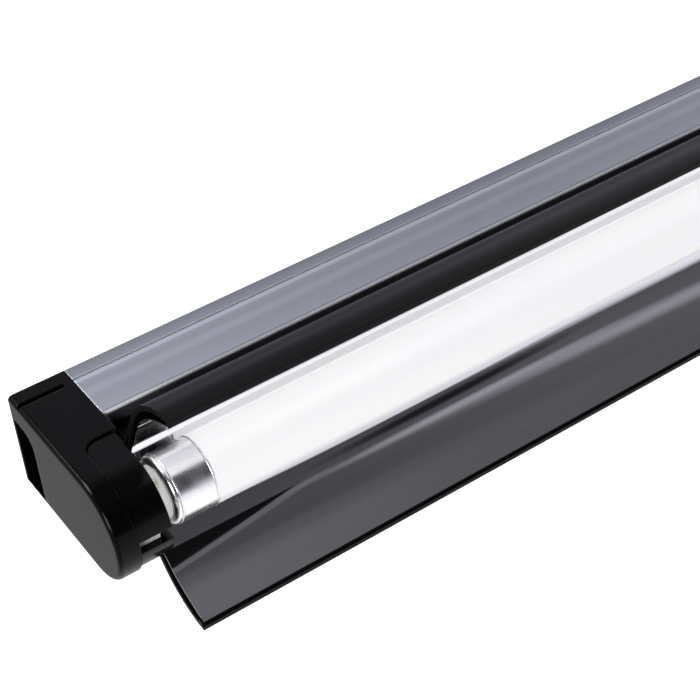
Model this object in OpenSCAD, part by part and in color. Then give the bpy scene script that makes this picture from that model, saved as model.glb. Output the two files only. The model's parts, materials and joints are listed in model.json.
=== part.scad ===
// Slim wall or ceiling batten light with a 16 mm fluorescent lamp and a clip-on mirror reflector.
// X runs along the lamp, the back face lies on Y = 0 and the lamp looks towards -Y.
// Outlines are drawn as (depth, across): depth grows from the back face towards the lamp,
// across is Z.

/* [Lamp] */
// Length of the lamp over its metal caps
lamp_len = 549; // [420:1:1449]
// Diameter of the lamp
lamp_d = 16; // [15.5:0.1:16.4]
// Thickness of the lamp's glass
glass_t = 0.7; // [0.5:0.1:1]
// Length of the lamp's metal cap
metal_cap_len = 10.15; // [9:0.05:12]
// Thickness of the lamp's metal cap
metal_cap_t = 0.45; // [0.3:0.05:0.6]
// Diameter of a lamp pin
pin_d = 2.35; // [2.2:0.05:2.5]
// Distance between the two lamp pins
pin_pitch = 4.75; // [4.5:0.05:5]
// Length of a lamp pin beyond the metal cap
pin_len = 7.1; // [6.8:0.1:7.3]

/* [Housing] */
// Width of the extruded housing
housing_w = 25; // [24:0.5:28]
// Depth of the extruded housing
housing_d = 17.3; // [16.5:0.1:19]
// Wall of the extruded housing
housing_wall = 1.2; // [1:0.1:1.4]
// Rounding of the housing's two front edges
housing_edge_r = 1; // [0.5:0.1:1.1]
// Distance from the housing's side to the mouth of the front channel
channel_margin = 3.5; // [3.3:0.1:3.7]
// Depth of the front channel
channel_d = 3.6; // [3.4:0.1:4]
// How far the front channel reaches under each lip
channel_undercut = 1.5; // [1.3:0.1:1.7]
// Distance of the side groove from the back face
side_groove_at = 4; // [3:0.1:6]
// Width of the side groove
side_groove_w = 0.6; // [0.4:0.1:1]
// Depth of the side groove
side_groove_d = 0.5; // [0.3:0.1:0.6]

/* [End cap] */
// Length of an end cap
cap_len = 13.5; // [13:0.1:15]
// Rounding of the end cap's outer edge
cap_edge_r = 1.1; // [0.6:0.1:1.4]
// Wall of the end cap
cap_wall = 1.6; // [1.2:0.1:1.8]
// Depth of the plug recess in the end face
recess_len = 9; // [8.6:0.1:9.2]
// Room between the plug recess and the front of the housing's hollow
recess_clear = 3.5; // [3.1:0.1:3.7]
// Width of the plug recess
recess_w = 18; // [17:0.1:18.5]
// Wall beside the plug recess
recess_wall = 1.2; // [1:0.1:1.5]
// Wall behind the plug recess
recess_back = 0.8; // [0.6:0.1:1.2]
// Rounding of the recess's inner corner
recess_r = 4; // [2:0.1:5]
// Width of the groove in each side of the end cap
cap_groove_w = 1.3; // [1:0.1:1.6]
// Depth of the groove in each side of the end cap
cap_groove_d = 0.7; // [0.4:0.1:0.9]
// Length of the groove in each side of the end cap
cap_groove_len = 11.3; // [9:0.1:12]
// Length of the tongue that plugs into the housing
tongue_len = 6; // [4:0.5:10]

/* [Lampholder] */
// Thickness of the end cap outside the lampholder
holder_start = 5; // [4.6:0.1:5.2]
// Length of the lampholder
holder_len = 7.7; // [7.5:0.1:7.9]
// Distance from the lamp's axis back to the lampholder's floor
holder_drop = 9.4; // [9:0.1:10]
// Step from the end cap's side in to the lampholder's side
holder_inset = 0.5; // [0.2:0.1:0.8]
// Radius of the seam between end cap and lampholder
seam_r = 3.75; // [3:0.05:3.9]
// Width of the slot that lets the lamp pins in
entry_slot_w = 3; // [2.8:0.1:3.4]
// Gap between the lampholder's face and the lamp
lamp_end_gap = 3.3; // [3:0.1:3.6]
// Running gap between rotor and lampholder
rotor_gap = 0.06; // [0.03:0.01:0.09]

/* [Reflector] */
// Distance of the reflector's back from the housing's front
reflector_rise = 3.9; // [3.5:0.1:4.4]
// Wall of the reflector
reflector_wall = 1.2; // [1:0.05:1.4]
// Thickness of the mirror film
mirror_t = 0.25; // [0.15:0.05:0.4]
// Height of the ribs that carry the mirror film
mirror_rise = 0.8; // [0.5:0.1:1]
// How far the mirror film stops short of each end of the reflector
mirror_inset = 0.4; // [0.2:0.1:2]
// Gap between the mirror and the lamp
lamp_gap = 0.75; // [0.6:0.05:2.2]
// Width of the reflector's flat back
reflector_flat_w = 9.8; // [8:0.1:11]
// Radius of a wing's curve
wing_r = 22.45; // [21:0.05:24]
// How far the wing's curve starts in front of the flat back
wing_base = 4.2; // [3.8:0.1:4.6]
// Distance of the wing's centre of curvature from the middle
wing_out = 8.2; // [7.5:0.1:9]
// Radius of a wing's curve near its rim
rim_r = 20.4; // [19:0.1:22]
// Gap between the end cap and the reflector
reflector_gap = 1.44; // [1:0.02:3]

/* [Ballast] */
// Length of the circuit board
board_len = 180; // [170:1:200]
// Thickness of the circuit board
board_t = 1.6; // [1.2:0.1:1.6]
// Distance of the circuit board from the left end
board_start = 62; // [50:1:70]
// Diameter of a wire over its insulation
wire_d = 1.4; // [1.2:0.1:1.5]

/* [Hidden] */
$fn = 96;
// Overrun of every cut
cut = 1;
// Gap between moulded pieces that plug together
fit_gap = 0.15;

// Places that follow from the sizes above
half_w = housing_w / 2;
holder_face = holder_start + holder_len;
lamp_x = holder_face + lamp_end_gap;
total_len = lamp_len + 2 * lamp_x;
left_x = -total_len / 2;
web_d = housing_d + reflector_rise;
lamp_depth = web_d + reflector_wall + mirror_rise + mirror_t + lamp_gap + lamp_d / 2;
holder_floor = lamp_depth - holder_drop;
holder_r = half_w - holder_inset;
recess_low = recess_wall - half_w;
recess_high = recess_low + recess_w;
channel_w = housing_w - 2 * channel_margin;
channel_floor = housing_d - channel_d;

// Inside of the housing: the board lies between a ledge and a rib on each side wall
lip_t = 1.2;
hollow_d = channel_floor - housing_wall;
ledge_h = 1.1;
rail_w = 1.5;
rail_t = 0.8;
board_gap = 0.1;
board_d = housing_wall + ledge_h + board_gap;
board_front = board_d + board_t;
rail_d = board_front + board_gap;

// Plug recess and wire room inside the end cap
recess_d = hollow_d - recess_clear;
room_back = recess_d + recess_wall;
room_front = holder_floor - cap_wall;
room_end = cap_len - cap_wall;
tongue_back = rail_d + rail_t + fit_gap;
tongue_front = hollow_d - fit_gap;
tongue_t = 0.9;
way_front = tongue_front - tongue_t;
way_back = recess_d + recess_wall / 2 - fit_gap;

// Rotor: a back plate with a shutter that closes the entry slot, a hub, and a head that shows as a collar
pin_reach = pin_pitch / 2 + pin_d / 2;
rotor_slot_w = pin_d + 2 * fit_gap;
hub_r = pin_reach + fit_gap / 3;
rotor_shoulder = 1.9;
rotor_r = hub_r + rotor_shoulder;
collar_step = 0.6;
collar_r = rotor_r - collar_step;
rotor_head_t = 2;
rotor_proud = 1.9;
rotor_top = holder_face + rotor_proud;
rotor_head = holder_face - rotor_head_t;
rotor_slot_floor = lamp_x - pin_len - fit_gap;
nose_t = 1.8;
plate_t = 1.6;
plate_x = holder_start + fit_gap + rotor_gap;
plate_end = plate_x + plate_t;
shutter_r = holder_r - nose_t;
shutter_t = 1;
shutter_half_angle = 22;
shutter_end = rotor_head - rotor_gap;
shutter_low = 5;

// Contact blades: the locked pins touch them at the open ends of the rotor's slot
blade_t = 0.3;
blade_clear = 0.1;
blade_at = hub_r + blade_clear;
blade_half = 2.8;
blade_room = 0.3;
blade_x = plate_end + blade_room;
blade_end = rotor_head - blade_room;
blade_tail_w = 1.5;
tail_len = 2.4;
tail_depth = room_front - tail_len;

// Lamp details
rim_bead_r = 0.3;
cap_corner_r = 1.2;
neck_gap = 0.05;
neck_r = lamp_d / 2 - metal_cap_t - neck_gap;
glass_start = 1.4;
disc_r = 6.4;
disc_t = 0.9;
disc_seat = 0.3;
stem_len = 22;
stem_r = 2.2;
flare_len = 5;
cathode_len = 10;
cathode_wire_r = 0.3;
cathode_coil_r = 0.6;
cathode_spread = 2.4;

// Reflector details: a wing is one curve that tightens near the rim
wing_start_angle = 25.6;
wing_turn_angle = 50;
wing_end_angle = 88.5;
mirror_short_angle = 1.4;
wing_centre = [web_d + wing_base + wing_r, wing_out];
rim_centre = wing_centre + (wing_r - rim_r) * [-cos(wing_turn_angle), sin(wing_turn_angle)];
rib_w = 1.4;
slice_overlap = 6;
slice_step = 0.002;
leg_gap = 0.8;
leg_t = 1.2;
leg_hook = 1.55;
leg_tip = 0.5;
leg_at = channel_w / 2 - leg_gap;

// Plug connection
flange_t = 1.2;
flange_over = 0.8;
flange_half = half_w - housing_wall - rail_w - fit_gap;
socket_len = cap_len + fit_gap + flange_t - recess_len;
socket_back = 1.4;
plug_pin_r = 1;
plug_pitch = 5;
plug_depth = (recess_d + recess_back) / 2;
plug_reach = 4.5;
plug_tail = 3;
plug_mid = (recess_low + recess_high) / 2;
sleeve_t = 0.5;

// Wires: places of the lanes beside the components
wire_sides = 8;
lane_across = half_w - housing_wall - wire_d / 2 - fit_gap;
lane_pitch = wire_d + fit_gap;
lane_depth = rail_d + rail_t + wire_d / 2 + fit_gap;

// Components of the ballast: lengths along the board, in the order in which they follow each other
terminal_len = 8;
fuse_len = 10;
filter_len = 12;
bulk_cap_len = 16;
lead_out = 1;
lead_r = 0.3;
toroid_r = 3.2;
toroid_half = 1.3;
turn_t = 0.35;
transistor_len = 11;
transistor_leg = 5;
film_len = 5;
choke_len = 17;
lengths = [terminal_len, fuse_len, filter_len, bulk_cap_len + 2 * (lead_out + lead_r),
    2 * (toroid_r + toroid_half + turn_t), transistor_len + transistor_leg, film_len, film_len,
    choke_len, film_len, terminal_len];
function total(v, n) = n == 0 ? 0 : v[n - 1] + total(v, n - 1);
spacing = (board_len - total(lengths, len(lengths))) / (len(lengths) + 1);
function station(i) = (i + 1) * spacing + total(lengths, i) + lengths[i] / 2;

// Their heights and widths follow from the room over the board and between the wires
part_gap = 0.7;
part_h = hollow_d - board_front - part_gap;
lane_gap = 1.35;
part_w = 2 * (lane_across - wire_d / 2 - lane_gap);
wide_share = 0.9;
filter_share = 0.78;
film_share = 0.7;
terminal_w = part_w * wide_share;
board_half = half_w - housing_wall - board_gap;
board_x = left_x + board_start;

// Frames: the children are drawn flat and then stand along one direction

module along_x(x, len) {
    translate([x, 0, 0]) rotate([90, 0, 90]) linear_extrude(len) mirror([1, 0]) children();
}

// Children drawn as (x, across), standing towards the lamp from a depth
module along_depth(depth, len) {
    translate([0, -depth, 0]) rotate([90, 0, 0]) linear_extrude(len) children();
}

// Children drawn as (x, depth), standing upwards
module along_across(across, len) {
    mirror([0, 1, 0]) translate([0, 0, across]) linear_extrude(len) children();
}

// Children are turned round an axis that runs along x; they are drawn as (radius, x)
module round_x(depth, across, turn = 360) {
    translate([0, -depth, across]) rotate([90, 0, 90]) rotate([0, 0, 90])
        rotate_extrude(angle = turn) children();
}

// A box given by its lowest and highest x, depth and across
module block(x, depth, across) {
    translate([x[0], -depth[1], across[0]])
        cube([x[1] - x[0], depth[1] - depth[0], across[1] - across[0]]);
}

module rod_x(x, len, depth, across, r) {
    translate([x, -depth, across]) rotate([0, 90, 0]) cylinder(h = len, r = r, $fn = 48);
}

module at_left() {
    translate([left_x, 0, 0]) children();
}

// The right end is the left end's moulding turned half round about the depth direction
module at_right() {
    rotate([0, 180, 0]) at_left() children();
}

// Housing

module housing_outline() {
    r = housing_edge_r;
    translate([0, -half_w]) square([housing_d - r, housing_w]);
    translate([0, r - half_w]) square([housing_d, housing_w - 2 * r]);
    for (side = [-1, 1])
        translate([housing_d - r, side * (half_w - r)]) circle(r);
}

module housing_section() {
    inner_half = half_w - housing_wall;
    difference() {
        housing_outline();
        // hollow for the ballast and the wires
        difference() {
            translate([housing_wall, -inner_half]) square([hollow_d - housing_wall, 2 * inner_half]);
            for (side = [0, 1]) mirror([0, side]) {
                translate([housing_wall - cut, inner_half - rail_w]) square([ledge_h + cut, rail_w + cut]);
                translate([rail_d, inner_half - rail_w]) square([rail_t, rail_w + cut]);
            }
        }
        // channel that the reflector's legs hook into
        translate([channel_floor, -channel_w / 2]) square([channel_d + cut, channel_w]);
        translate([channel_floor, -channel_w / 2 - channel_undercut])
            square([channel_d - lip_t, channel_w + 2 * channel_undercut]);
        // fine groove along each side
        for (side = [0, 1]) mirror([0, side])
            translate([side_groove_at - side_groove_w / 2, half_w - side_groove_d])
                square([side_groove_w, side_groove_d + cut]);
    }
}

module housing_profile() {
    color([0.72, 0.73, 0.75])
        along_x(left_x + cap_len, total_len - 2 * cap_len) housing_section();
}

// End caps

module cap_plan() {
    r = cap_edge_r;
    translate([r, -half_w]) square([cap_len - r, housing_w]);
    translate([0, r - half_w]) square([cap_len, housing_w - 2 * r]);
    for (side = [-1, 1])
        translate([r, side * (half_w - r)]) circle(r);
}

module cap_nose_profile() {
    r = cap_edge_r;
    square([half_w - r, cap_len]);
    translate([0, r]) square([half_w, cap_len - r]);
    translate([half_w - r, r]) circle(r);
}

// Side view of the place that the lampholder fills, drawn as (x, depth)
module seat_outline(gap, x_end) {
    front = lamp_depth + housing_w;
    translate([holder_start + seam_r, holder_floor + gap])
        square([x_end - holder_start - seam_r, front - holder_floor - gap]);
    translate([holder_start + gap, holder_floor + seam_r])
        square([x_end - holder_start - gap, front - holder_floor - seam_r]);
    translate([holder_start + seam_r, holder_floor + seam_r]) circle(seam_r - gap);
}

// Plug recess, drawn as (depth, across)
module recess_outline(gap, back) {
    low = recess_low + gap;
    r = recess_r - gap;
    corner = [recess_d - recess_r, recess_high - recess_r];
    translate([back, low]) square([recess_d - gap - back, corner[1] - low]);
    translate([back, low]) square([corner[0] - back, recess_high - gap - low]);
    translate(corner) circle(r);
}

// Slots that let the contact tails through, one on each side of the middle
module tail_slots(front) {
    for (side = [0, 1]) mirror([0, 0, side])
        block([blade_x - fit_gap, blade_x + blade_tail_w + fit_gap], [room_front - cut, front],
            [blade_at - blade_room, blade_at + blade_t + blade_room]);
}

module cap_tongue() {
    inner_half = half_w - housing_wall - fit_gap;
    difference() {
        block([cap_len - cut, cap_len + tongue_len], [tongue_back, tongue_front],
            [-inner_half, inner_half]);
        block([cap_len - 2 * cut, cap_len + tongue_len + cut], [tongue_back - cut, way_front],
            [tongue_t - inner_half, inner_half - tongue_t]);
    }
}

module end_cap() {
    room_half = half_w - cap_wall;
    way_half = half_w - housing_wall - fit_gap - tongue_t;
    difference() {
        union() {
            along_depth(0, lamp_depth) cap_plan();
            round_x(lamp_depth, 0, 180) cap_nose_profile();
            cap_tongue();
        }
        along_across(-housing_w, 2 * housing_w) seat_outline(0, cap_len + cut);
        // plug recess, open at the end face
        along_x(-cut, recess_len + cut) recess_outline(0, recess_back);
        // seat of the socket block behind it
        along_x(recess_len - fit_gap, cap_len - recess_len + cut + fit_gap)
            recess_outline(fit_gap, socket_back);
        // room for the lamp wires, and its way into the housing
        block([cap_wall, room_end], [room_back, room_front], [-room_half, room_half]);
        block([recess_len, cap_len + cut], [way_back, way_front], [-way_half, way_half]);
        tail_slots(holder_floor + seam_r + cut);
        for (side = [0, 1]) mirror([0, 0, side])
            block([-cut, cap_groove_len],
                [side_groove_at - cap_groove_w / 2 + side_groove_w / 2,
                    side_groove_at + cap_groove_w / 2 + side_groove_w / 2],
                [half_w - cap_groove_d, half_w + cut]);
    }
}

module end_cap_left() {
    color([0.05, 0.05, 0.055]) at_left() end_cap();
}

module end_cap_right() {
    color([0.05, 0.05, 0.055]) at_right() end_cap();
}

// Lampholders

module holder_front() {
    translate([holder_floor, -holder_r]) square([lamp_depth - holder_floor, 2 * holder_r]);
    intersection() {
        translate([lamp_depth, 0]) circle(holder_r);
        translate([lamp_depth - cut, -housing_w]) square([housing_w, 2 * housing_w]);
    }
}

// Part of a ring round the lamp's axis, open or closed at its middle, within an angle to both sides
module ring_part(r0, r1, half_angle) {
    reach = 2 * r1;
    side_out = reach * [cos(half_angle), sin(half_angle)];
    translate([lamp_depth, 0]) intersection() {
        difference() {
            circle(r1);
            if (r0 > 0) circle(r0);
        }
        polygon([[0, 0], [side_out[0], -side_out[1]], side_out]);
    }
}

// Way of the shutter when the rotor turns to either side
module shutter_way(r0) {
    intersection() {
        translate([lamp_depth, 0]) difference() {
            circle(shutter_r + rotor_gap);
            if (r0 > 0) circle(r0);
        }
        translate([lamp_depth - shutter_low, -housing_w]) square([2 * housing_w, 2 * housing_w]);
    }
}

module lampholder() {
    difference() {
        intersection() {
            along_x(holder_start, holder_len) holder_front();
            along_across(-housing_w, 2 * housing_w) seat_outline(fit_gap, holder_face);
        }
        // bores of the rotor's head, hub and back plate
        rod_x(rotor_head - rotor_gap, rotor_head_t + rotor_gap + cut, lamp_depth, 0, rotor_r + rotor_gap);
        rod_x(plate_x, rotor_head - plate_x, lamp_depth, 0, hub_r + rotor_gap);
        rod_x(holder_start, plate_end + rotor_gap - holder_start, lamp_depth, 0, rotor_r + rotor_gap);
        along_x(holder_start, plate_end + rotor_gap - holder_start) shutter_way(0);
        along_x(plate_x, shutter_end + rotor_gap - plate_x)
            shutter_way(shutter_r - shutter_t - rotor_gap);
        // slot that the lamp pins come in through
        block([holder_start, holder_face + cut],
            [lamp_depth, lamp_depth + half_w + cut], [-entry_slot_w / 2, entry_slot_w / 2]);
        // chambers of the contact blades
        for (side = [0, 1]) mirror([0, 0, side])
            block([plate_x, blade_end + fit_gap],
                [lamp_depth - blade_half - fit_gap, lamp_depth + blade_half + fit_gap],
                [blade_at - blade_room, blade_at + blade_t + blade_room]);
        tail_slots(lamp_depth);
    }
}

module lampholder_left() {
    color([0.07, 0.07, 0.075]) at_left() lampholder();
}

module lampholder_right() {
    color([0.07, 0.07, 0.075]) at_right() lampholder();
}

// Rotor with its slot across and its shutter behind the entry slot, as it stands when the lamp is locked
module rotor() {
    difference() {
        union() {
            rod_x(plate_x, plate_t, lamp_depth, 0, rotor_r);
            along_x(plate_x, plate_t) ring_part(0, shutter_r, shutter_half_angle);
            along_x(plate_x, shutter_end - plate_x)
                ring_part(shutter_r - shutter_t, shutter_r, shutter_half_angle);
            rod_x(plate_x, rotor_head - plate_x, lamp_depth, 0, hub_r);
            rod_x(rotor_head, rotor_head_t - fit_gap, lamp_depth, 0, rotor_r);
            rod_x(rotor_head, rotor_top - rotor_head, lamp_depth, 0, collar_r);
        }
        block([rotor_slot_floor, rotor_top + cut],
            [lamp_depth - rotor_slot_w / 2, lamp_depth + rotor_slot_w / 2], [-rotor_r - cut, rotor_r + cut]);
    }
}

module rotor_left() {
    color([0.75, 0.75, 0.73]) at_left() rotor();
}

module rotor_right() {
    color([0.75, 0.75, 0.73]) at_right() rotor();
}

// Spring blades, each with a tail that reaches back into the end cap
module holder_contacts() {
    for (side = [0, 1]) mirror([0, 0, side]) along_across(blade_at, blade_t) {
        translate([blade_x, lamp_depth - blade_half]) square([blade_end - blade_x, 2 * blade_half]);
        translate([blade_x, tail_depth]) square([blade_tail_w, lamp_depth - blade_half + cut - tail_depth]);
    }
}

module holder_contacts_left() {
    color([0.78, 0.6, 0.35]) at_left() holder_contacts();
}

module holder_contacts_right() {
    color([0.78, 0.6, 0.35]) at_right() holder_contacts();
}

// Reflector: points of its section at a distance from its outer surface

function wing_point(t, angle) = wing_centre + (wing_r - t) * [-cos(angle), sin(angle)];
slant_rise = wing_point(0, wing_start_angle)[0] - web_d;
slant_run = wing_point(0, wing_start_angle)[1] - reflector_flat_w / 2;
bend_angle = atan(slant_rise / slant_run);
function web_corner(t) = [web_d + t, reflector_flat_w / 2 - t * tan(bend_angle / 2)];

// Slice of a disc between two angles; a slice reaches under its neighbours to be one with them
module slice(centre, r, a0, a1) {
    reach = 2 * wing_r;
    intersection() {
        translate(centre) circle(r, $fn = 180);
        polygon([centre, centre + reach * [-cos(a0), sin(a0)], centre + reach * [-cos(a1), sin(a1)]]);
    }
}

// Length of the reflector, drawn in by a distance at each end, and the same on both sides of the lamp
module reflector_span(inset) {
    end_x = cap_len + reflector_gap + inset;
    for (side = [0, 1]) mirror([0, 0, side])
        along_x(left_x + end_x, total_len - 2 * end_x) children();
}

// Everything on the lamp's side of the surface at a distance from the outer one, up to an angle at the rim
module lamp_side(t, end_angle, inset) {
    reflector_span(inset) polygon([[web_d + t, -cut], web_corner(t), wing_point(t, wing_start_angle),
        wing_centre, [wing_centre[0], -cut]]);
    reflector_span(inset)
        slice(wing_centre, wing_r - t, wing_start_angle - slice_overlap, wing_turn_angle);
    reflector_span(inset)
        slice(rim_centre, rim_r - t - slice_step, wing_turn_angle - slice_overlap, end_angle);
}

// Layer of the reflector between two distances from its outer surface
module reflector_layer(t0, t1, end_angle, inset) {
    difference() {
        lamp_side(t0, end_angle, inset);
        lamp_side(t1, end_angle + slice_overlap, inset - cut);
        reflector_span(inset - cut) translate(wing_centre) circle(wing_r / 2);
    }
}

// Ribs that the mirror film rests on: one beside the middle and one along the rim
module middle_rib() {
    rise = reflector_wall + mirror_rise;
    side_out = web_corner(rise)[1];
    translate([web_d + reflector_wall / 2, side_out - rib_w]) square([rise - reflector_wall / 2, rib_w]);
}

module rim_rib() {
    rib_angle = 2 * asin(rib_w / 2 / rim_r);
    rib_end = wing_end_angle - mirror_short_angle;
    difference() {
        slice(rim_centre, rim_r - reflector_wall / 2, rib_end - rib_angle, rib_end);
        translate(rim_centre) circle(rim_r - reflector_wall - mirror_rise - slice_step, $fn = 180);
    }
}

// Leg that snaps under the housing's lip
module reflector_leg() {
    hook_d = housing_d - lip_t - fit_gap;
    tip = channel_floor + leg_tip;
    slope = slant_rise / slant_run;
    root = web_d + reflector_wall / 2;
    root_in = root + (leg_at - leg_t - reflector_flat_w / 2) * slope;
    root_out = root + (leg_at - reflector_flat_w / 2) * slope;
    polygon([[tip, leg_at - leg_t], [root_in, leg_at - leg_t], [root_out, leg_at],
        [hook_d, leg_at], [hook_d, leg_at + leg_hook], [tip, leg_at]]);
}

module reflector_body() {
    color([0.05, 0.05, 0.05]) {
        reflector_layer(0, reflector_wall, wing_end_angle, 0);
        reflector_span(0) reflector_leg();
        reflector_span(0) middle_rib();
        reflector_span(0) rim_rib();
    }
}

module reflector_mirror() {
    back = reflector_wall + mirror_rise;
    color([0.9, 0.9, 0.92])
        reflector_layer(back, back + mirror_t, wing_end_angle - mirror_short_angle, mirror_inset);
}

// Lamp

module glass_section() {
    outer = lamp_d / 2;
    half_len = lamp_len / 2;
    square([outer, half_len - metal_cap_len]);
    square([neck_r, half_len - glass_start]);
}

module lamp_tube() {
    half_len = lamp_len / 2;
    color([0.96, 0.96, 0.95]) difference() {
        for (side = [0, 1]) mirror([side, 0, 0]) round_x(lamp_depth, 0) glass_section();
        rod_x(-half_len, lamp_len, lamp_depth, 0, neck_r - glass_t);
    }
}

// Metal cap with a rolled bead at each end, open where the insulating disc sits
module metal_cap_section() {
    r = lamp_d / 2;
    difference() {
        union() {
            translate([0, cap_corner_r]) square([r, metal_cap_len - cap_corner_r]);
            square([r - cap_corner_r, cap_corner_r]);
            translate([r - cap_corner_r, cap_corner_r]) circle(cap_corner_r);
            for (at = [cap_corner_r + rim_bead_r, metal_cap_len - rim_bead_r])
                translate([r - rim_bead_r / 2, at]) circle(rim_bead_r, $fn = 24);
        }
        translate([0, metal_cap_t]) square([r - metal_cap_t, metal_cap_len]);
        translate([0, -cut]) square([disc_r - disc_seat, metal_cap_t + 2 * cut]);
    }
}

module lamp_cap() {
    translate([lamp_x, 0, 0]) round_x(lamp_depth, 0) metal_cap_section();
}

module lamp_cap_left() {
    color([0.85, 0.85, 0.86]) at_left() lamp_cap();
}

module lamp_cap_right() {
    color([0.85, 0.85, 0.86]) at_right() lamp_cap();
}

module lamp_insulator() {
    difference() {
        union() {
            rod_x(lamp_x, metal_cap_t, lamp_depth, 0, disc_r - disc_seat - rotor_gap);
            rod_x(lamp_x + metal_cap_t, disc_t, lamp_depth, 0, disc_r);
        }
        for (side = [-1, 1])
            rod_x(lamp_x - cut, disc_t + 3 * cut, lamp_depth, side * pin_pitch / 2, pin_d / 2);
    }
}

module lamp_insulator_left() {
    color([0.82, 0.8, 0.76]) at_left() lamp_insulator();
}

module lamp_insulator_right() {
    color([0.82, 0.8, 0.76]) at_right() lamp_insulator();
}

module lamp_pins() {
    tip = pin_d / 4;
    for (side = [-1, 1]) translate([lamp_x - pin_len, 0, 0])
        round_x(lamp_depth, side * pin_pitch / 2) {
            translate([0, tip]) square([pin_d / 2, pin_len - tip + metal_cap_t + disc_t]);
            square([pin_d / 2 - tip, tip]);
            intersection() {
                translate([pin_d / 2 - tip, tip]) circle(tip, $fn = 32);
                square([pin_d / 2, tip]);
            }
        }
}

module lamp_pins_left() {
    color([0.8, 0.7, 0.45]) at_left() lamp_pins();
}

module lamp_pins_right() {
    color([0.8, 0.7, 0.45]) at_right() lamp_pins();
}

// Glass foot that is sealed into the end of the tube
module lamp_stem() {
    r = neck_r - glass_t;
    translate([lamp_x + glass_start, 0, 0]) round_x(lamp_depth, 0) difference() {
        union() {
            square([r, glass_t]);
            polygon([[0, 0], [r, glass_t], [stem_r, flare_len], [stem_r, stem_len], [0, stem_len]]);
        }
        polygon([[0, -cut], [r - glass_t - glass_t, -cut], [stem_r - glass_t, flare_len - glass_t],
            [0, flare_len]]);
    }
}

module lamp_stem_left() {
    color([0.85, 0.9, 0.9]) at_left() lamp_stem();
}

module lamp_stem_right() {
    color([0.85, 0.9, 0.9]) at_right() lamp_stem();
}

// Two support wires that carry the coiled cathode across
module cathode() {
    foot = lamp_x + glass_start + stem_len;
    top = foot + cathode_len;
    for (side = [-1, 1]) {
        rod_x(foot, cathode_len, lamp_depth, side * cathode_spread, cathode_wire_r);
        block([foot - cathode_wire_r, foot + cathode_wire_r],
            [lamp_depth - cathode_wire_r, lamp_depth + cathode_wire_r],
            side < 0 ? [-cathode_spread, -stem_r - fit_gap / 2] : [stem_r + fit_gap / 2, cathode_spread]);
    }
    translate([top, -lamp_depth, -cathode_spread - cathode_coil_r])
        cylinder(h = 2 * (cathode_spread + cathode_coil_r), r = cathode_coil_r, $fn = 24);
}

module cathode_left() {
    color([0.5, 0.5, 0.52]) at_left() cathode();
}

module cathode_right() {
    color([0.5, 0.5, 0.52]) at_right() cathode();
}

// Plug connection at each end

// Block that slides in from the housing's side until its flange meets the end cap
module socket_block() {
    back = socket_back + fit_gap;
    along_x(recess_len, cap_len - fit_gap - recess_len) recess_outline(2 * fit_gap, back);
    along_x(cap_len - 2 * fit_gap, flange_t) intersection() {
        recess_outline(2 * fit_gap, back);
        translate([0, -flange_half]) square([recess_d, 2 * flange_half]);
    }
    block([cap_len + fit_gap, recess_len + socket_len], [back, recess_d + 2 * fit_gap],
        [-flange_half, min(recess_high + flange_over, flange_half)]);
}

module plug_places() {
    for (i = [-1, 0, 1]) translate([0, -plug_depth, plug_mid + i * plug_pitch]) rotate([0, 90, 0]) children();
}

module inlet_socket() {
    color([0.12, 0.12, 0.12]) at_left() difference() {
        socket_block();
        translate([recess_len - cut, 0, 0]) plug_places()
            cylinder(h = socket_len + 2 * cut, r = plug_pin_r, $fn = 32);
    }
}

module inlet_pins() {
    color([0.8, 0.68, 0.4]) at_left() translate([recess_len - plug_reach, 0, 0]) plug_places()
        cylinder(h = plug_reach + socket_len + plug_tail, r = plug_pin_r, $fn = 32);
}

module outlet_socket() {
    color([0.12, 0.12, 0.12]) at_right() difference() {
        socket_block();
        translate([recess_len - cut, 0, 0]) plug_places()
            cylinder(h = socket_len + 2 * cut, r = plug_pin_r + sleeve_t, $fn = 32);
    }
}

module outlet_contacts() {
    color([0.8, 0.68, 0.4]) at_right() translate([recess_len + sleeve_t, 0, 0]) plug_places()
        difference() {
            cylinder(h = socket_len - sleeve_t + plug_tail, r = plug_pin_r + sleeve_t, $fn = 32);
            translate([0, 0, -cut]) cylinder(h = socket_len + cut, r = plug_pin_r, $fn = 32);
        }
}

// Ballast

module ballast_board() {
    color([0.75, 0.62, 0.4]) block([board_x, board_x + board_len], [board_d, board_front],
        [-board_half, board_half]);
}

module ballast_insulator() {
    film_t = 0.4;
    film_half = half_w - housing_wall - rail_w - board_gap;
    color([0.85, 0.85, 0.8]) block([board_x, board_x + board_len], [housing_wall, housing_wall + film_t],
        [-film_half, film_half]);
}

// The middle of a component's foot on the board, in the order of their lengths
module on_board(i) {
    translate([board_x + station(i), -board_front, 0]) children();
}

// Wound coil on a closed core that lies on the board, its middle leg along x
module choke(len, width, height, leg) {
    leg_share = 0.23;
    coil_share = 0.42;
    leg_r = height * leg_share;
    window = len - 2 * leg;
    translate([0, -height / 2, 0]) {
        difference() {
            translate([-len / 2, -height / 2, -width / 2]) cube([len, height, width]);
            translate([-window / 2, -height / 2 - cut, leg - width / 2])
                cube([window, height + 2 * cut, width - 2 * leg]);
        }
        rotate([0, 90, 0]) cylinder(h = window + cut, r = leg_r, center = true, $fn = 48);
    }
    translate([0, -height / 2, 0]) rotate([0, 90, 0]) difference() {
        cylinder(h = window - 2 * fit_gap, r = height * coil_share, center = true, $fn = 64);
        cylinder(h = len, r = leg_r + fit_gap / 3, center = true, $fn = 48);
    }
}

module mains_filter_choke() {
    filter_leg = 2;
    color([0.28, 0.28, 0.3]) on_board(2)
        choke(filter_len, part_w * filter_share, part_h - part_gap, filter_leg);
}

module lamp_choke() {
    choke_leg = 2.6;
    color([0.25, 0.25, 0.27]) on_board(8) choke(choke_len, part_w * wide_share, part_h, choke_leg);
}

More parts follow.
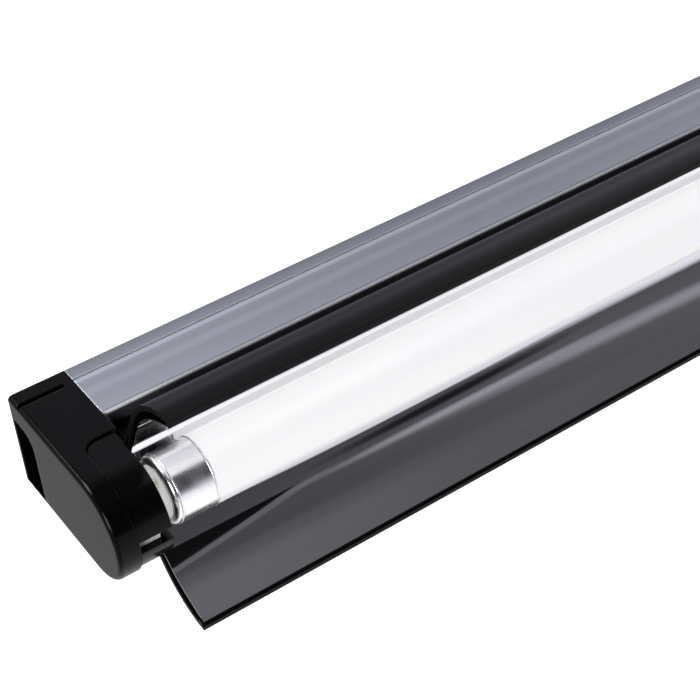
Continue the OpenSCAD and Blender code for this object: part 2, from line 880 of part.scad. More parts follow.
// Can on its side, with its crimp groove at the rubber end
module bulk_capacitor() {
    r = part_h / 2;
    crimp = 0.6;
    crimp_at = 2;
    lead_pitch = 3.5;
    color([0.15, 0.17, 0.3]) on_board(3) {
        translate([-bulk_cap_len / 2, 0, 0]) round_x(r, 0) difference() {
            square([r, bulk_cap_len]);
            translate([r, crimp_at]) circle(crimp, $fn = 24);
        }
        for (side = [-1, 1]) {
            rod_x(-bulk_cap_len / 2 - lead_out, lead_out, r, side * lead_pitch / 2, lead_r);
            block([-bulk_cap_len / 2 - lead_out - lead_r, -bulk_cap_len / 2 - lead_out + lead_r],
                [0, r + lead_r], [side * lead_pitch / 2 - lead_r, side * lead_pitch / 2 + lead_r]);
        }
    }
}

module film_capacitors() {
    film_edge = 0.8;
    film_w = part_w * film_share;
    color([0.65, 0.15, 0.12]) for (i = [6, 7, 9]) on_board(i)
        rotate([90, 0, 0]) linear_extrude(part_h - part_gap) {
            square([film_len, film_w - 2 * film_edge], center = true);
            square([film_len - 2 * film_edge, film_w], center = true);
        }
}

// Two flat transistors side by side, with three legs each
module switching_transistors() {
    body_t = 3;
    hole_r = 1.6;
    hole_at = 3.5;
    leg_w = 0.8;
    leg_pitch = 2.3;
    pair_gap = 0.8;
    body_w = (part_w - pair_gap) / 2;
    from = (transistor_leg - transistor_len) / 2;
    color([0.1, 0.1, 0.1]) on_board(5) for (side = [-1, 1])
        translate([from, 0, side * (body_w + pair_gap) / 2]) {
            difference() {
                block([0, transistor_len], [0, body_t], [-body_w / 2, body_w / 2]);
                translate([transistor_len - hole_at, cut, 0]) rotate([90, 0, 0])
                    cylinder(h = body_t + 2 * cut, r = hole_r, $fn = 48);
            }
            for (i = [-1, 0, 1]) block([-transistor_leg, 0], [0, leg_w],
                [i * leg_pitch - leg_w / 2, i * leg_pitch + leg_w / 2]);
        }
}

// Small ring core that lies flat, with its turns round it
module drive_toroid() {
    turn_count = 10;
    turn_pitch = 26;
    turn_span = 13;
    color([0.25, 0.32, 0.25]) on_board(4)
        translate([0, -toroid_half - turn_t, 0]) rotate([90, 0, 0]) {
            rotate_extrude() translate([toroid_r, 0]) square(2 * toroid_half, center = true);
            for (i = [0 : turn_count - 1]) rotate([0, 0, i * turn_pitch])
                rotate_extrude(angle = turn_span) translate([toroid_r, 0])
                    square(2 * (toroid_half + turn_t), center = true);
        }
}

module fuse() {
    fuse_r = 1.8;
    fuse_end = 2.4;
    fuse_bead = 0.2;
    fuse_across = 4;
    color([0.8, 0.8, 0.8]) on_board(1) {
        rod_x(-fuse_len / 2, fuse_len, fuse_r + fuse_bead, fuse_across, fuse_r);
        for (x = [-fuse_len / 2, fuse_len / 2 - fuse_end])
            rod_x(x, fuse_end, fuse_r + fuse_bead, fuse_across, fuse_r + fuse_bead);
    }
}

terminal_hole_r = 0.9;
terminal_hole_len = 5;
terminal_hole_d = 2.6;

// Centre of hole i of a terminal block with so many holes
function hole_across(i, count) = (i - (count - 1) / 2) * terminal_w / count;

module terminal_block(count) {
    difference() {
        block([-terminal_len / 2, terminal_len / 2], [0, part_h - 2 * part_gap],
            [-terminal_w / 2, terminal_w / 2]);
        for (i = [0 : count - 1])
            rod_x(-terminal_len / 2 - cut, terminal_hole_len + cut, terminal_hole_d,
                hole_across(i, count), terminal_hole_r);
    }
}

module terminal_blocks() {
    color([0.85, 0.85, 0.82]) {
        on_board(0) terminal_block(3);
        on_board(len(lengths) - 1) mirror([1, 0, 0]) terminal_block(4);
    }
}

// Wires: round tubes along routes whose corners are cut back twice

ease_share = 0.3;
wire_bend = 2.4;
function unit(v) = v / norm(v);
function inward(a, b, reach) = a + (b - a) * min(reach / norm(b - a), ease_share);
function eased(p, reach) = concat([p[0]],
    [for (i = [0 : len(p) - 2]) each [inward(p[i], p[i + 1], reach), inward(p[i + 1], p[i], reach)]],
    [p[len(p) - 1]]);
function tangents(p) = [for (i = [0 : len(p) - 1])
    unit(p[min(i + 1, len(p) - 1)] - p[max(i - 1, 0)])];
function carried(t, i, side) = i >= len(t) ? [] :
    let (next = unit(side - (side * t[i]) * t[i])) concat([next], carried(t, i + 1, next));

module tube(route, r) {
    p = eased(eased(route, wire_bend), wire_bend * ease_share);
    t = tangents(p);
    side = carried(t, 0, abs(t[0][0]) > 0.5 ? [0, 1, 0] : [1, 0, 0]);
    n = wire_sides;
    last = len(p) - 1;
    points = [for (i = [0 : last]) for (j = [0 : n - 1])
        let (a = 360 * j / n)
        p[i] + r * (cos(a) * side[i] + sin(a) * cross(t[i], side[i]))];
    faces = concat(
        [[for (j = [0 : n - 1]) j]],
        [[for (j = [n - 1 : -1 : 0]) last * n + j]],
        [for (i = [0 : last - 1]) for (j = [0 : n - 1])
            let (k = (j + 1) % n)
            each [[i * n + j, (i + 1) * n + j, (i + 1) * n + k], [i * n + j, (i + 1) * n + k, i * n + k]]]);
    polyhedron(points, faces);
}

// A point by its distance along x, its depth and its place across
function at(x, depth, across) = [x, -depth, across];

inlet_tail_x = left_x + recess_len + socket_len + plug_tail;
outlet_tail_x = -left_x - recess_len - socket_len - plug_tail;
terminal_mouth_x = board_x + station(0) - terminal_len / 2;
lamp_mouth_x = board_x + station(len(lengths) - 1) + terminal_len / 2;
wire_run = 6;

// From the three inlet pins to the first terminal block
module mains_wires() {
    color([0.6, 0.3, 0.15]) for (i = [-1, 0, 1]) {
        from = plug_mid + i * plug_pitch;
        to = hole_across(i + 1, 3);
        level = board_front + terminal_hole_d;
        tube([at(inlet_tail_x, plug_depth, from), at(inlet_tail_x + wire_run, plug_depth, from),
            at(terminal_mouth_x - 2 * wire_run, level, to), at(terminal_mouth_x, level, to)], wire_d / 2);
    }
}

// Three wires on one side wall that carry the mains on to the outlet
module link_wires() {
    lane = -lane_across;
    beside = plug_depth + plug_pin_r + wire_d / 2;
    color([0.2, 0.35, 0.6]) for (i = [-1, 0, 1]) {
        depth = lane_depth + (i + 1) * lane_pitch;
        from = plug_mid + i * plug_pitch;
        to = i * plug_pitch - plug_mid;
        tube([at(inlet_tail_x - wire_d, beside, from), at(inlet_tail_x + wire_run, beside, from),
            at(inlet_tail_x + 3 * wire_run, depth, lane), at(outlet_tail_x - 3 * wire_run, depth, lane),
            at(outlet_tail_x - wire_run, plug_depth, to), at(outlet_tail_x, plug_depth, to)], wire_d / 2);
    }
}

// Wires from the contact tails of one end into the housing and to their lane; the far one lies on top
tail_x = blade_x + blade_tail_w / 2;
tail_out = blade_at + blade_t + wire_d / 2;
way_in = cap_len + tongue_len;
way_depth = way_front - wire_d / 2 - 2 * fit_gap;
room_depth = room_back + wire_d / 2 + fit_gap;

function way_out(i) = [
    at(tail_x, tail_depth + wire_d, i * tail_out),
    at(tail_x, tail_depth - wire_d, i * tail_out),
    at(tail_x, room_depth, i * tail_out),
    at(recess_len, room_depth, i * tail_out),
    at(room_end, way_depth, i * tail_out),
    at(way_in, way_depth, i * tail_out),
    at(way_in + 4 * wire_run, lane_depth + (i < 0 ? lane_pitch : 0), lane_across)];

// The end of a lamp wire, from its lane round into hole number k of the lamp terminals
function way_back_in(i, k) =
    let (turn = lamp_mouth_x + (k + 1) * 2 * wire_d, level = board_front + terminal_hole_d,
        across = -hole_across(k, 4))
    [at(turn, lane_depth + (i < 0 ? lane_pitch : 0), lane_across), at(turn, level, across),
        at(lamp_mouth_x, level, across)];

module lamp_wires_left() {
    color([0.85, 0.85, 0.85]) for (i = [-1, 1])
        tube(concat([for (p = way_out(i)) p + [left_x, 0, 0]], way_back_in(i, i < 0 ? 1 : 0)), wire_d / 2);
}

module lamp_wires_right() {
    color([0.85, 0.85, 0.85]) for (i = [-1, 1])
        tube(concat([for (p = way_out(i)) [-left_x - p[0], p[1], p[2]]], way_back_in(i, i < 0 ? 3 : 2)),
            wire_d / 2);
}

housing_profile();
end_cap_left();
end_cap_right();
lampholder_left();
lampholder_right();
rotor_left();
rotor_right();
holder_contacts_left();
holder_contacts_right();
reflector_body();
reflector_mirror();
lamp_tube();
lamp_cap_left();
lamp_cap_right();
lamp_insulator_left();
lamp_insulator_right();
lamp_pins_left();
lamp_pins_right();
lamp_stem_left();
lamp_stem_right();
cathode_left();
cathode_right();
inlet_socket();
inlet_pins();
outlet_socket();
outlet_contacts();
ballast_board();
ballast_insulator();
mains_filter_choke();
bulk_capacitor();
film_capacitors();
lamp_choke();
switching_transistors();
drive_toroid();
fuse();
terminal_blocks();
mains_wires();
link_wires();
lamp_wires_left();
lamp_wires_right();
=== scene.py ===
"""Slim fluorescent batten light: finishes, mirror film, floor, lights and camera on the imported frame."""
import json
import math

import bpy
from mathutils import Euler, Matrix, Vector


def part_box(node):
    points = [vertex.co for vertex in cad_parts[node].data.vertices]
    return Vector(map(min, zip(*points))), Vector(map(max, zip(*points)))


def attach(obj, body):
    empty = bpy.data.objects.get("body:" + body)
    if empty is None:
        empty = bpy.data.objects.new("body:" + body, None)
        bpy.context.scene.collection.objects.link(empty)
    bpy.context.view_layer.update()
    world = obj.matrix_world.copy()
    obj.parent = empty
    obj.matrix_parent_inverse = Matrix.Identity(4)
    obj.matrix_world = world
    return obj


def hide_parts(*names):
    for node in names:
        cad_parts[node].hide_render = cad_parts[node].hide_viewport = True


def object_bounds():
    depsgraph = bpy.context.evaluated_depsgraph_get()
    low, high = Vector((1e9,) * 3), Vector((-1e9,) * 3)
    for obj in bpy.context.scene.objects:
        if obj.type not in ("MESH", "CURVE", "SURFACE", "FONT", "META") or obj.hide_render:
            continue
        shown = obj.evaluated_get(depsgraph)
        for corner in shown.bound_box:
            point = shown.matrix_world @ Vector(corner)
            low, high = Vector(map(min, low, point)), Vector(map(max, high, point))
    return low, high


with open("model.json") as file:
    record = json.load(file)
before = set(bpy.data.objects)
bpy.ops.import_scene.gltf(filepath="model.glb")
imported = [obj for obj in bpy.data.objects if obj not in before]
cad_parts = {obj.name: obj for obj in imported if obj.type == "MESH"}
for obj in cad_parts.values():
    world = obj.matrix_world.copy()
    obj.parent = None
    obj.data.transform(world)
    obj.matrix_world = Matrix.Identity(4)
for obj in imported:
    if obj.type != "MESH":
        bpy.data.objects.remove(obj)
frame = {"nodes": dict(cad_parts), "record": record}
cad_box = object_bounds()
nodes = frame["nodes"]

mm = 0.001
white = (1, 1, 1, 1)


# Helpers for nodes and objects

def node_of(tree, kind, inputs=(), operation=None):
    """A new node whose first inputs are linked or set in order."""
    node = tree.nodes.new(kind)
    if operation:
        node.operation = operation
    for slot, value in zip(node.inputs, inputs):
        if isinstance(value, bpy.types.NodeSocket):
            tree.links.new(value, slot)
        else:
            slot.default_value = value
    return node


def result(tree, kind, inputs, operation=None):
    """The first output of a new node."""
    return node_of(tree, kind, inputs, operation).outputs[0]


def mapped(tree, value, start, end, low=0.0, high=1.0):
    """The value, from its start to its end, becomes a value from low to high."""
    return result(tree, "ShaderNodeMapRange", [value, start, end, low, high])


def largest(tree, vector):
    """The size of a vector's largest part."""
    size = result(tree, "ShaderNodeVectorMath", [vector], "ABSOLUTE")
    axes = node_of(tree, "ShaderNodeSeparateXYZ", [size]).outputs
    across = result(tree, "ShaderNodeMath", [axes["X"], axes["Y"]], "MAXIMUM")
    return result(tree, "ShaderNodeMath", [across, axes["Z"]], "MAXIMUM")


def graded(tree, value, stops):
    """Grey that follows a value between 0 and 1 through stops of (value, grey), in order."""
    ramp = node_of(tree, "ShaderNodeValToRGB", [value])
    ramp.color_ramp.interpolation = "EASE"
    elements = ramp.color_ramp.elements
    elements.remove(elements[1])
    elements[0].position = stops[0][0]
    for at, grey in stops[1:]:
        elements.new(at)
    for element, (at, grey) in zip(elements, stops):
        element.color = (grey, grey, grey, 1)
    return ramp.outputs["Color"]


def placed(name, data):
    """A new object in the scene."""
    obj = bpy.data.objects.new(name, data)
    bpy.context.scene.collection.objects.link(obj)
    return obj


# Materials. Coordinates are the part's own, in metres. Noise falls mostly within its span. A side counts as
# flat, and an edge as fully under its painted highlight, by the largest part of the normal there.

noise_span = (0.3, 0.7)
bevel_samples = 6
flat_side = 0.98
highlit_edge = 0.85


def surface(name, colour, roughness, metallic=0.0, specular=0.5):
    """A new material with a plain shader; what varies over the surface is linked afterwards."""
    mat = bpy.data.materials.new(name)
    mat.use_nodes = True
    shader = shader_of(mat)
    shader.inputs["Base Color"].default_value = (*colour, 1)
    shader.inputs["Roughness"].default_value = roughness
    shader.inputs["Metallic"].default_value = metallic
    shader.inputs["Specular IOR Level"].default_value = specular
    return mat


def shader_of(mat):
    return mat.node_tree.nodes["Principled BSDF"]


def drive(mat, target, value):
    """A value that varies over the surface goes to one of the shader's sockets."""
    mat.node_tree.links.new(value, shader_of(mat).inputs[target])


def driving(mat, target):
    """The value that was last linked to one of the shader's sockets."""
    return shader_of(mat).inputs[target].links[0].from_socket


def noise(mat, stretch, detail=2.0):
    """Noise over the surface; stretch gives the number of patches per metre along x, y and z."""
    tree = mat.node_tree
    place = tree.nodes.new("ShaderNodeTexCoord").outputs["Object"]
    scaled = node_of(tree, "ShaderNodeMapping", [place])
    scaled.inputs["Scale"].default_value = stretch
    grain = node_of(tree, "ShaderNodeTexNoise", [scaled.outputs["Vector"]])
    grain.inputs["Scale"].default_value = 1
    grain.inputs["Detail"].default_value = detail
    return grain.outputs["Fac"]


def gloss(mat, value, low, high):
    """The value picks the roughness between two ends."""
    drive(mat, "Roughness", mapped(mat.node_tree, value, *noise_span, low, high))


def tint(mat, value, dark, light):
    """The value picks the base colour between two colours."""
    ramp = node_of(mat.node_tree, "ShaderNodeValToRGB", [value])
    for element, at, colour in zip(ramp.color_ramp.elements, noise_span, (dark, light)):
        element.position = at
        element.color = (*colour, 1)
    drive(mat, "Base Color", ramp.outputs["Color"])


def relief(mat, value, height, strength=0.5):
    """The value stands out of the surface by up to a height in metres."""
    tree = mat.node_tree
    bump = tree.nodes.new("ShaderNodeBump")
    bump.inputs["Strength"].default_value = strength
    bump.inputs["Distance"].default_value = height
    if shader_of(mat).inputs["Normal"].is_linked:
        tree.links.new(driving(mat, "Normal"), bump.inputs["Normal"])
    tree.links.new(value, bump.inputs["Height"])
    drive(mat, "Normal", bump.outputs["Normal"])


def soft_edges(mat, radius):
    """Edges catch the light as if they were rounded."""
    bevel = mat.node_tree.nodes.new("ShaderNodeBevel")
    bevel.samples = bevel_samples
    bevel.inputs["Radius"].default_value = radius
    drive(mat, "Normal", bevel.outputs["Normal"])


def painted_edge_highlight(mat, colour, edge_metal_drop):
    """Painted highlight: edges, and rounded corners between the flat sides, get a lighter, less metallic
    colour; soft edges come first.
    """
    tree = mat.node_tree
    edge = mapped(tree, largest(tree, driving(mat, "Normal")), flat_side, highlit_edge)
    mixed = result(tree, "ShaderNodeMixRGB", [edge, driving(mat, "Base Color"), (*colour, 1)])
    drive(mat, "Base Color", mixed)
    whole = shader_of(mat).inputs["Metallic"].default_value
    drive(mat, "Metallic", mapped(tree, edge, 0.0, 1.0, whole, whole - edge_metal_drop))


def painted_light_by_depth(mat, colour, stops):
    """Painted light and shade: the colour, lighter or darker by the depth from the back face; stops of
    (millimetres, factor).
    """
    tree = mat.node_tree
    place = tree.nodes.new("ShaderNodeTexCoord").outputs["Object"]
    depth = node_of(tree, "ShaderNodeSeparateXYZ", [place]).outputs["Y"]
    deepest = stops[-1][0]
    strongest = max(factor for at, factor in stops)
    share = mapped(tree, depth, 0.0, -deepest * mm)
    greys = graded(tree, share, [(at / deepest, factor / strongest) for at, factor in stops])
    brightest = [c * strongest for c in colour]
    drive(mat, "Base Color", result(tree, "ShaderNodeVectorMath", [greys, brightest], "MULTIPLY"))


def painted_glow(mat, strength):
    """Painted glow: the surface gives off light of its own, standing in for light through a thin white wall.
    """
    shader_of(mat).inputs["Emission Color"].default_value = white
    shader_of(mat).inputs["Emission Strength"].default_value = strength


# Painted highlights and shade on the housing's sides from back to front: a painted dark strip, painted
# highlights on the two flanks of the groove, and broad soft bands of painted light and shade along the drawn
# metal.
painted_side_light = [(0, 0.68), (3, 0.84), (3.8, 1.3), (5.1, 1.45), (5.9, 1.0), (7.2, 0.95), (9.4, 1.13),
               (11.5, 0.98), (15, 1.05), (17, 1.15)]


def anodised():
    """Drawn aluminium: painted bands of highlight and shade and fine lines along its length, painted
    highlights on its edges, its gloss clouded by the anodising.
    """
    colour = (0.5, 0.52, 0.565)
    mat = surface("anodised_aluminium", colour, roughness=0.3, metallic=0.95)
    lines = noise(mat, (2, 5000, 5000), detail=3.0)
    cloud = noise(mat, (160, 300, 300), detail=4.0)
    # Painted highlights and shade in bands along the housing's sides, by depth.
    painted_light_by_depth(mat, colour, painted_side_light)
    gloss(mat, cloud, low=0.27, high=0.35)
    soft_edges(mat, radius=0.3 * mm)
    # Painted highlight on the housing's edges and rounded corners.
    painted_edge_highlight(mat, (0.82, 0.83, 0.87), edge_metal_drop=0.7)
    relief(mat, lines, height=0.002 * mm)
    return mat


def moulded(name, colour, roughness, pore_depth, specular=0.5, edge_radius=0.0):
    """Moulded plastic with a faint skin and slightly uneven gloss."""
    mat = surface(name, colour, roughness, specular=specular)
    skin = noise(mat, (900, 900, 900), detail=3.0)
    cloud = noise(mat, (70, 70, 70))
    gloss(mat, cloud, low=roughness * 0.8, high=roughness * 1.25)
    tint(mat, skin, dark=[c * 0.85 for c in colour], light=[min(1, c * 1.15) for c in colour])
    if edge_radius:
        soft_edges(mat, edge_radius)
    relief(mat, skin, pore_depth)
    return mat


def extruded_black():
    """Black plastic profile with faint lines along its length."""
    mat = surface("reflector_plastic", (0.003, 0.003, 0.0034), roughness=0.3, specular=0.08)
    lines = noise(mat, (3, 900, 900))
    cloud = noise(mat, (20, 50, 50))
    tint(mat, lines, dark=(0.0022, 0.0022, 0.0026), light=(0.0036, 0.0036, 0.004))
    gloss(mat, cloud, low=0.27, high=0.33)
    soft_edges(mat, radius=0.2 * mm)
    relief(mat, lines, height=0.004 * mm)
    return mat


def mirror():
    """Mirror film, a little wavy between its ribs."""
    mat = surface("mirror_film", (0.9, 0.9, 0.91), roughness=0.03, metallic=1.0)
    lines = noise(mat, (4, 700, 700), detail=3.0)
    waves = noise(mat, (26, 90, 90), detail=1.0)
    tint(mat, lines, dark=(0.88, 0.88, 0.89), light=(0.93, 0.93, 0.94))
    gloss(mat, lines, low=0.02, high=0.045)
    relief(mat, waves, height=0.04 * mm, strength=0.4)
    relief(mat, lines, height=0.0006 * mm)
    return mat


def coated_glass():
    """Clear glass over white powder, with a painted glow for the light through the powder."""
    mat = surface("lamp_glass", (0.6, 0.61, 0.61), roughness=0.12)
    cloud = noise(mat, (9, 160, 160))
    powder = noise(mat, (2500, 2500, 2500))
    tint(mat, cloud, dark=(0.56, 0.57, 0.58), light=(0.62, 0.62, 0.62))
    gloss(mat, powder, low=0.1, high=0.16)
    # Painted glow: the tube gives off light of its own, as if lit through.
    painted_glow(mat, strength=0.45)
    return mat


def pressed_metal():
    """Thin pressed metal with fine rings about the lamp's axis and shallow dents."""
    mat = surface("lamp_cap_metal", (0.9, 0.9, 0.92), roughness=0.29, metallic=1.0)
    rings = noise(mat, (4000, 30, 30))
    dents = noise(mat, (260, 260, 260), detail=1.0)
    tint(mat, rings, dark=(0.89, 0.89, 0.91), light=(0.94, 0.94, 0.95))
    gloss(mat, dents, low=0.22, high=0.32)
    relief(mat, dents, height=0.02 * mm)
    relief(mat, rings, height=0.0003 * mm)
    return mat


def metal(name, dark, light, roughness):
    """Small metal piece with slightly uneven colour and gloss."""
    mat = surface(name, light, roughness, metallic=1.0)
    cloud = noise(mat, (700, 700, 700), detail=3.0)
    tint(mat, cloud, dark, light)
    gloss(mat, cloud, low=roughness * 0.8, high=roughness * 1.3)
    return mat


def fibre(name, dark, light, roughness):
    """Pressed board, ferrite, resin and other dull stuff with a fine grain."""
    mat = surface(name, light, roughness)
    grain = noise(mat, (1800, 1800, 1800), detail=4.0)
    tint(mat, grain, dark, light)
    relief(mat, grain, height=0.01 * mm)
    return mat


def insulation():
    """Thin white disc with a painted glow that lightens it."""
    mat = fibre("lamp_disc", dark=(0.82, 0.82, 0.81), light=(0.88, 0.88, 0.87), roughness=0.5)
    # Painted glow on the disc, which is no lamp.
    painted_glow(mat, strength=0.35)
    return mat


def clear_glass(name, colour):
    """Thin clear glass with faint streaks in its gloss."""
    mat = surface(name, colour, roughness=0.05)
    shader_of(mat).inputs["Transmission Weight"].default_value = 0.9
    streak = noise(mat, (200, 900, 900))
    gloss(mat, streak, low=0.03, high=0.08)
    return mat


fine_pores = 0.006 * mm
pores = 0.01 * mm
coarse_pores = 0.02 * mm

# Each call gives the name, the colour or the darkest and the lightest, the roughness and the pores' depth.
finishes = {
    "anodised_aluminium": anodised(),
    "end_cap_plastic": moulded("end_cap_plastic", (0.0016, 0.0016, 0.0018), 0.16, fine_pores,
                               specular=0.1, edge_radius=0.4 * mm),
    "lampholder_plastic": moulded("lampholder_plastic", (0.0018, 0.0018, 0.002), 0.16, fine_pores,
                                  specular=0.12, edge_radius=0.3 * mm),
    "rotor_plastic": moulded("rotor_plastic", (0.7, 0.7, 0.69), 0.4, pores),
    "contact_metal": metal("contact_metal", (0.62, 0.44, 0.22), (0.72, 0.53, 0.3), 0.3),
    "reflector_plastic": extruded_black(),
    "mirror_film": mirror(),
    "lamp_glass": coated_glass(),
    "lamp_cap_metal": pressed_metal(),
    "lamp_disc": insulation(),
    "lamp_pin_metal": metal("lamp_pin_metal", (0.68, 0.65, 0.57), (0.8, 0.77, 0.69), 0.25),
    "stem_glass": clear_glass("stem_glass", (0.86, 0.92, 0.92)),
    "cathode_wire": metal("cathode_wire", (0.36, 0.36, 0.38), (0.46, 0.46, 0.48), 0.35),
    "socket_plastic": moulded("socket_plastic", (0.03, 0.03, 0.031), 0.45, pores),
    "plug_metal": metal("plug_metal", (0.66, 0.52, 0.26), (0.78, 0.63, 0.34), 0.25),
    "board": fibre("board", (0.55, 0.4, 0.22), (0.66, 0.5, 0.3), 0.6),
    "insulating_film": fibre("insulating_film", (0.77, 0.77, 0.7), (0.82, 0.82, 0.76), 0.4),
    "ferrite": fibre("ferrite", (0.07, 0.07, 0.08), (0.11, 0.11, 0.12), 0.55),
    "capacitor_sleeve": moulded("capacitor_sleeve", (0.05, 0.06, 0.16), 0.3, fine_pores),
    "film_capacitor": moulded("film_capacitor", (0.5, 0.07, 0.05), 0.3, coarse_pores),
    "transistor": fibre("transistor", (0.025, 0.025, 0.025), (0.035, 0.035, 0.035), 0.6),
    "fuse_glass": clear_glass("fuse_glass", (0.9, 0.92, 0.92)),
    "terminal_plastic": moulded("terminal_plastic", (0.75, 0.75, 0.71), 0.45, pores),
    "mains_wire": moulded("mains_wire", (0.33, 0.14, 0.06), 0.45, pores),
    "link_wire": moulded("link_wire", (0.07, 0.15, 0.4), 0.45, pores),
    "lamp_wire": moulded("lamp_wire", (0.75, 0.75, 0.75), 0.45, pores),
}
for part in frame["record"]["subparts"]:
    slots = nodes[part["node"]].data.materials
    slots.clear()
    slots.append(finishes[part["material_slot"]])


# Mirror film, in the solid's place. Its section is drawn as depth in front of the back face and distance out
# from the middle. It rests on the ribs at its root and rims, and springs straighter between them.

film_t = 0.25 * mm
flat_half = 4.44 * mm
slant_angle = math.radians(26.2)
rim_angle = math.radians(66.5)
bend_r = 24 * mm
bend_steps = 40
length_steps = 60
crease_angle = math.radians(20)


def further(point, angle, distance):
    """The point reached from another by going outwards at an angle to the flat back."""
    return (point[0] + distance * math.sin(angle), point[1] + distance * math.cos(angle))


def film_half(back, rim):
    """Points of the film's back from the middle to one rim, each with the angle that the film faces."""
    corner = (back, flat_half)
    rise = rim[0] - corner[0]
    run = rim[1] - corner[1]
    turn = rim_angle - slant_angle
    slant = (run * math.sin(rim_angle) - rise * math.cos(rim_angle)) / math.sin(turn)
    start = further(corner, slant_angle, slant - bend_r * math.tan(turn / 2))
    centre = further(start, slant_angle - math.pi / 2, -bend_r)
    points = [((back, 0), 0), (corner, slant_angle / 2)]
    for i in range(bend_steps + 1):
        angle = slant_angle + turn * i / bend_steps
        points.append((further(centre, angle - math.pi / 2, bend_r), angle))
    points.append((rim, rim_angle))
    return points


def drawn(ring, back_points, start, end):
    """Corners and faces of a closed section drawn along x; its first points are those of its back."""
    n = len(ring)
    corners = []
    faces = []
    for i in range(length_steps + 1):
        x = start + (end - start) * i / length_steps
        corners += [(x, -depth, out) for depth, out in ring]
    for i in range(length_steps):
        for k in range(n):
            a, b = i * n + k, i * n + (k + 1) % n
            faces.append((a, b, b + n, a + n))
    for first, order in ((0, 1), (length_steps * n, -1)):
        for k in range(back_points - 1):
            cap = (first + k, first + n - 1 - k, first + n - 2 - k, first + k + 1)
            faces.append(cap[::order])
    return corners, faces


def mirror_film():
    """The film as a thin sheet over the whole length of the solid that it replaces."""
    low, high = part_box("reflector_mirror")
    half = film_half(-high[1], (-low[1], high[2]))
    back = [point for point, angle in half]
    face = [(depth + film_t * math.cos(angle), out - film_t * math.sin(angle))
            for (depth, out), angle in half]
    ring = [(depth, -out) for depth, out in reversed(back)] + back[1:]
    ring += list(reversed(face)) + [(depth, -out) for depth, out in face[1:]]
    corners, faces = drawn(ring, 2 * len(back) - 1, low[0], high[0])
    mesh = bpy.data.meshes.new("mirror_film")
    mesh.from_pydata(corners, [], faces)
    mesh.shade_smooth()
    mesh.set_sharp_from_angle(angle=crease_angle)
    mesh.materials.append(finishes["mirror_film"])
    film = placed("mirror_film", mesh)
    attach(film, "fixture")
    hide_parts("reflector_mirror")


mirror_film()


# Floor. It is white to the camera. In gloss and through glass it glows too, but not behind the part or past
# its left end: along y and x, each pair gives the place of no glow and the place of full glow.

floor_height = -0.25
floor_reach = 6
floor_grey = (0.4, 0.4, 0.4)
seen_glow = 1.0
gloss_glow = 0.8
glow_along_y = (0.15, -0.1)
glow_along_x = (-0.45, -0.32)


def floor():
    quarters = ((-1, -1), (1, -1), (1, 1), (-1, 1))
    corners = [(x * floor_reach, y * floor_reach, floor_height) for x, y in quarters]
    mesh = bpy.data.meshes.new("floor")
    mesh.from_pydata(corners, [], [(0, 1, 2, 3)])
    mat = surface("floor", floor_grey, roughness=0.9, specular=0.0)
    tree = mat.node_tree
    path = tree.nodes.new("ShaderNodeLightPath").outputs
    place = tree.nodes.new("ShaderNodeTexCoord").outputs["Object"]
    where = node_of(tree, "ShaderNodeSeparateXYZ", [place]).outputs
    front = mapped(tree, where["Y"], *glow_along_y)
    beside = mapped(tree, where["X"], *glow_along_x)
    near = result(tree, "ShaderNodeMath", [front, beside], "MULTIPLY")
    rays = [path["Is Glossy Ray"], path["Is Transmission Ray"]]
    mirrored = result(tree, "ShaderNodeMath", rays, "MAXIMUM")
    shine = result(tree, "ShaderNodeMath", [mirrored, near], "MULTIPLY")
    shine = result(tree, "ShaderNodeMath", [shine, gloss_glow], "MULTIPLY")
    seen = result(tree, "ShaderNodeMath", [path["Is Camera Ray"], seen_glow], "MULTIPLY")
    shader_of(mat).inputs["Emission Color"].default_value = white
    drive(mat, "Emission Strength", result(tree, "ShaderNodeMath", [shine, seen], "MAXIMUM"))
    mesh.materials.append(mat)
    placed("floor", mesh)


# Room light: greys that follow the height, behind and in front, with soft patches over them. The mirror film
# and the metal show the patches as the light and dark shapes along them. To the camera the room is white.

back_levels = [(0.0, 0.95), (0.1, 0.85), (0.25, 0.25), (0.4, 0.32), (0.6, 0.36), (0.75, 0.16), (0.85, 0.1)]
front_levels = [(0.03, 0.9), (0.09, 0.055), (0.4, 0.055), (0.5, 0.06), (0.8, 0.065), (0.87, 0.09),
                (0.96, 0.13)]
back_to_front = (0.1, -0.15)
room_tone = (1.0, 1.0, 1.12)


def toward(x, rise):
    """Direction from its part along the fitting and its rise in degrees, over 90 for what lies behind."""
    rise = math.radians(rise)
    across = math.sqrt(1 - x * x)
    return Vector((x, -across * math.cos(rise), across * math.sin(rise)))


def patch(shape, start, end, half_width, grey, edge):
    """A soft patch of grey light, oval or square, from one direction to another."""
    return (shape, toward(*start), toward(*end), half_width, grey, edge)


patches = [
    patch("oval", (0.1, 137), (0.4, 137), half_width=0.35, grey=0.64, edge=0.8),
    patch("oval", (0.5, 165), (0.9, 165), half_width=0.22, grey=1.1, edge=0.6),
    patch("oval", (0.46, 56), (0.8, 50), half_width=0.5, grey=0.095, edge=0.6),
    patch("oval", (0.3, 7), (0.56, 7), half_width=0.13, grey=0.7, edge=0.1),
    patch("oval", (0.48, 12), (1, 12), half_width=0.16, grey=0.8, edge=0.2),
    patch("square", (0.29, 31), (0.155, 56.6), half_width=0.093, grey=0.12, edge=0.07),
    patch("square", (0.278, 30.4), (0.143, 56), half_width=0.08, grey=0.005, edge=0.03),
    patch("oval", (0.38, 23), (0.5, 25), half_width=0.06, grey=0.012, edge=0.6),
    patch("oval", (0.39, 36), (0.52, 40), half_width=0.045, grey=0.32, edge=0.9),
    patch("oval", (0.47, 40), (0.66, 60), half_width=0.06, grey=0.27, edge=0.9),
]


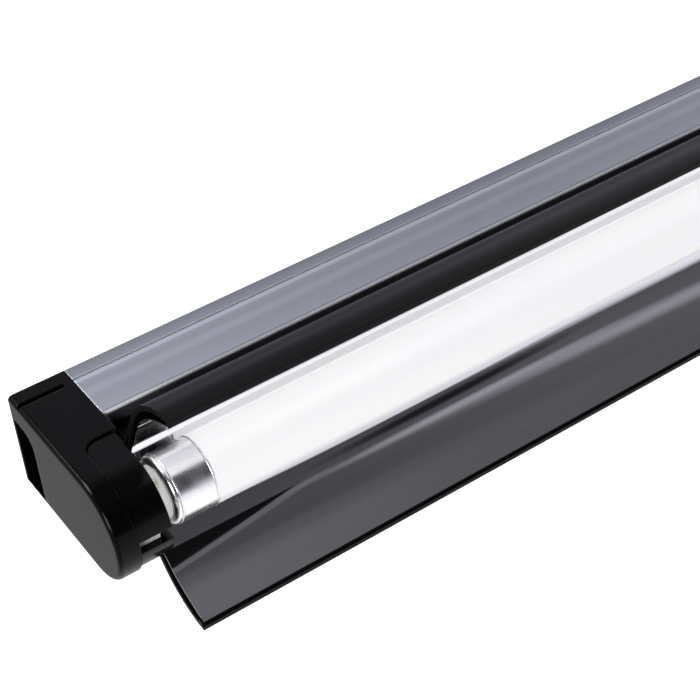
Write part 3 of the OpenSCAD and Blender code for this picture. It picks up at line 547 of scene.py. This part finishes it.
def patched(tree, place, light, shape, start, end, half_width, grey, edge):
    """The light with one patch over it."""
    centre = (start + end).normalized()
    axis = (end - start).normalized()
    turn = Matrix((axis, centre.cross(axis), centre)).transposed()
    size = ((end - start).length / 2, half_width, 1)
    local = node_of(tree, "ShaderNodeMapping", [place, centre, turn.to_euler(), size])
    local.vector_type = "TEXTURE"
    if shape == "oval":
        far = node_of(tree, "ShaderNodeVectorMath", [local.outputs[0]], "LENGTH").outputs["Value"]
    else:
        far = largest(tree, local.outputs[0])
    inside = node_of(tree, "ShaderNodeMapRange", [far, 1 - edge, 1 + edge, 1.0, 0.0])
    inside.interpolation_type = "SMOOTHSTEP"
    return result(tree, "ShaderNodeMixRGB", [inside.outputs[0], light, (grey, grey, grey, 1)])


def room():
    world = bpy.data.worlds.new("room")
    bpy.context.scene.world = world
    world.use_nodes = True
    tree = world.node_tree
    place = tree.nodes.new("ShaderNodeTexCoord").outputs["Generated"]
    where = node_of(tree, "ShaderNodeSeparateXYZ", [place]).outputs
    ahead = mapped(tree, where["Y"], *back_to_front)
    behind = graded(tree, where["Z"], back_levels)
    in_front = graded(tree, where["Z"], front_levels)
    light = result(tree, "ShaderNodeMixRGB", [ahead, behind, in_front])
    for values in patches:
        light = patched(tree, place, light, *values)
    light = result(tree, "ShaderNodeVectorMath", [light, room_tone], "MULTIPLY")
    seen = tree.nodes.new("ShaderNodeLightPath").outputs["Is Camera Ray"]
    light = result(tree, "ShaderNodeMixRGB", [seen, light, white])
    tree.links.new(light, tree.nodes["Background"].inputs["Color"])


def panel(name, place, target, size, power):
    """A square soft light turned towards a point."""
    lamp = bpy.data.lights.new(name, "AREA")
    lamp.shape = "RECTANGLE"
    lamp.size = size
    lamp.size_y = size
    lamp.energy = power
    obj = placed(name, lamp)
    obj.location = place
    obj.rotation_euler = (Vector(target) - Vector(place)).to_track_quat("-Z", "Y").to_euler()


floor()
room()
left_end = (cad_box[0][0], 0, 0)
panel("key", place=(-0.85, 0.55, 0.95), target=left_end, size=0.6, power=16)
panel("fill", place=(-1.5, -1.0, 0.7), target=left_end, size=0.8, power=24)


# Camera, at the photo's viewing angle

eye_place = (-0.37367, -0.26607, 0.24722)
eye_turn = (49.3624, 3.1018, -35.0461)

camera = bpy.data.cameras.new("camera")
camera.lens = 87.7
camera.sensor_width = 36
camera.shift_x = -0.0002
camera.shift_y = 0.0099
camera.clip_start = 10 * mm
eye = placed("camera", camera)
eye.location = eye_place
eye.rotation_euler = Euler([math.radians(angle) for angle in eye_turn], "XYZ")
bpy.context.scene.camera = eye
bpy.context.scene.view_settings.view_transform = "Standard"
